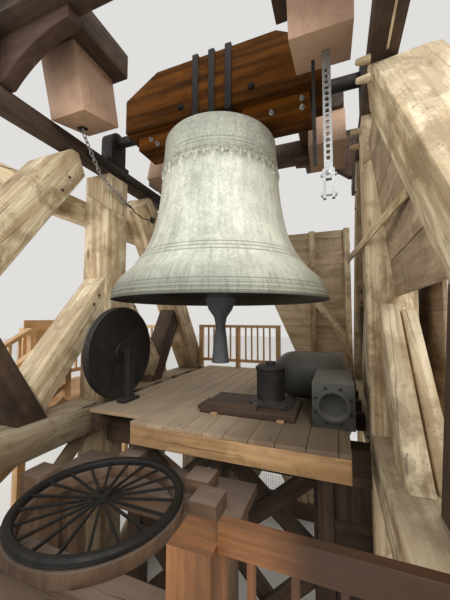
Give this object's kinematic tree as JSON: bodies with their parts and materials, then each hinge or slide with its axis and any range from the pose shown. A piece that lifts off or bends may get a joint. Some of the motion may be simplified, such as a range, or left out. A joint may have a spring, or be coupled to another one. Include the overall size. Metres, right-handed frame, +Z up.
{
  "type": "open timber bell frame with a great bell",
  "caption": "Open two-storey oak bell frame with raking struts, a deck and gallery, and a great bronze bell and clapper that swing under a timber headstock.",
  "frame": {"origin": "on the ground, under the middle of the bell", "axes": "+X along the headstock, +Y away from the viewer, the way the bell swings, +Z up"},
  "size_m": [5.82, 6.2, 7.31],
  "materials": {
    "aged_oak": "hewn, greyed and cracked",
    "dark_oak": "old, dusty and dark",
    "sawn_oak": "sawn, newer",
    "new_pine": "planed, pale",
    "stock_oak": "oiled, orange brown",
    "boarding": "old wide boards",
    "iron": "dull black, dusty",
    "zinc": "galvanised",
    "machine_paint": "grey-green paint, dusty",
    "bronze": "pale grey-green patina"
  },
  "bodies": {
    "frame": {"corner_posts": "aged_oak", "bearing_posts": "aged_oak", "cross_girts": "aged_oak", "side_girts": "aged_oak", "side_braces": "aged_oak", "back_posts": "aged_oak", "back_braces": "aged_oak", "raking_struts": "aged_oak", "lower_struts": "aged_oak", "side_rails": "aged_oak", "back_studs": "aged_oak", "well_posts": "aged_oak", "side_soles": "dark_oak", "cross_soles": "dark_oak", "deck_joists": "dark_oak", "cross_ties": "dark_oak", "arch_braces": "dark_oak", "crown_plates": "dark_oak", "well_sole": "dark_oak", "counter_braces": "dark_oak", "guard_sill": "dark_oak", "deck_plinth": "dark_oak", "top_plates": "dark_oak", "upper_posts": "dark_oak", "middle_girt": "dark_oak", "middle_posts": "dark_oak", "middle_rails": "dark_oak", "middle_braces": "dark_oak", "deck_edge_beam": "sawn_oak", "deck_boards": "sawn_oak", "hanging_posts": "sawn_oak", "well_bearers": "sawn_oak", "well_curb": "sawn_oak", "guard_rail": "sawn_oak", "gallery": "new_pine", "gallery_posts": "new_pine", "gallery_railing": "new_pine", "stair_strings": "new_pine", "stair_treads": "new_pine", "back_railing": "new_pine", "right_boarding": "boarding", "spandrel_boarding": "boarding", "back_boarding": "boarding", "middle_boarding": "boarding", "bearings": "iron", "spoked_wheel": "iron", "winch_drum": "iron", "drive_disc": "iron", "hanger_bar": "zinc", "drive_housing": "machine_paint"},
    "swinging_bell": {"headstock": "stock_oak", "stock_straps": "iron", "gudgeons": "iron", "bell": "bronze", "crown_loops": "bronze", "clapper_staple": "iron"},
    "swinging_clapper": {"clapper": "iron"}
  },
  "joints": [
    {"name": "bell_swing", "type": "hinge", "parent": "frame", "child": "swinging_bell", "pos_m": [0, 0, 6.65], "axis": [1, 0, 0], "range_deg": [-50, 50]},
    {"name": "clapper_swing", "type": "hinge", "parent": "swinging_bell", "child": "swinging_clapper", "pos_m": [0, 0, 5.95], "axis": [1, 0, 0], "range_deg": [-28, 28]}
  ]
}
